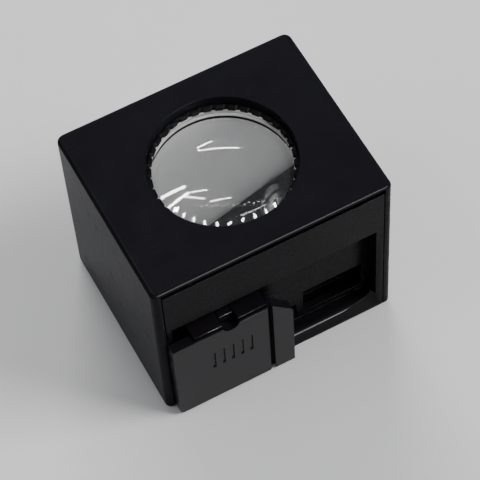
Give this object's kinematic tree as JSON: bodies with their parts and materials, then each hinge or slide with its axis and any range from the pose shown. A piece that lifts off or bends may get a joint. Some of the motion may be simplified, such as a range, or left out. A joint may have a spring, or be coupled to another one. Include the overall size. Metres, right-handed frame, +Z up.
{
  "type": "viewing loupe",
  "caption": "Box loupe with a large lens set into its top, a sliding light gate in a front recess, an open picture frame base and a white rear light window.",
  "frame": {"origin": "on the surface it stands on, under the middle of the whole object's box", "axes": "+X along the front, to the right as seen from the front; -Y out of the front with the gate; +Z up through the lens"},
  "size_m": [0.05, 0.043, 0.0425],
  "materials": {
    "case_plastic": "satin black moulding",
    "gate_plastic": "satin black moulding",
    "black_metal": "black, satin",
    "lens_glass": "polished",
    "opal": "white diffusing sheet",
    "nylon": "white nylon",
    "steel": "plated"
  },
  "bodies": {
    "case": {"outer_case": "case_plastic", "front_panel": "case_plastic", "lens_cell": "black_metal", "cushion_ring": "nylon", "magnifier_lens": "lens_glass", "retaining_ring": "black_metal", "cell_screw_1": "steel", "cell_screw_2": "steel", "cell_screw_3": "steel", "cell_screw_4": "steel", "base_frame": "case_plastic", "base_screw_1": "steel", "base_screw_2": "steel", "base_screw_3": "steel", "base_screw_4": "steel", "rear_pane": "opal", "pane_bezel": "case_plastic", "pane_screw_1": "steel", "pane_screw_2": "steel"},
    "gate": {"gate_plate": "gate_plastic", "gate_carriage": "gate_plastic", "keeper_plate": "steel", "keeper_screw_1": "steel", "keeper_screw_2": "steel", "gate_leaf_spring": "steel", "latch_spring": "steel"},
    "latch": {"latch_button": "gate_plastic"}
  },
  "joints": [
    {"name": "gate_slide", "type": "slide", "parent": "case", "child": "gate", "axis": [1, 0, 0], "range_m": [0, 0.0195]},
    {"name": "latch_press", "type": "slide", "parent": "gate", "child": "latch", "axis": [0, 0, -1], "range_m": [0, 0.001], "stiffness_N_per_m": 400, "deforming": ["latch_spring"]}
  ]
}
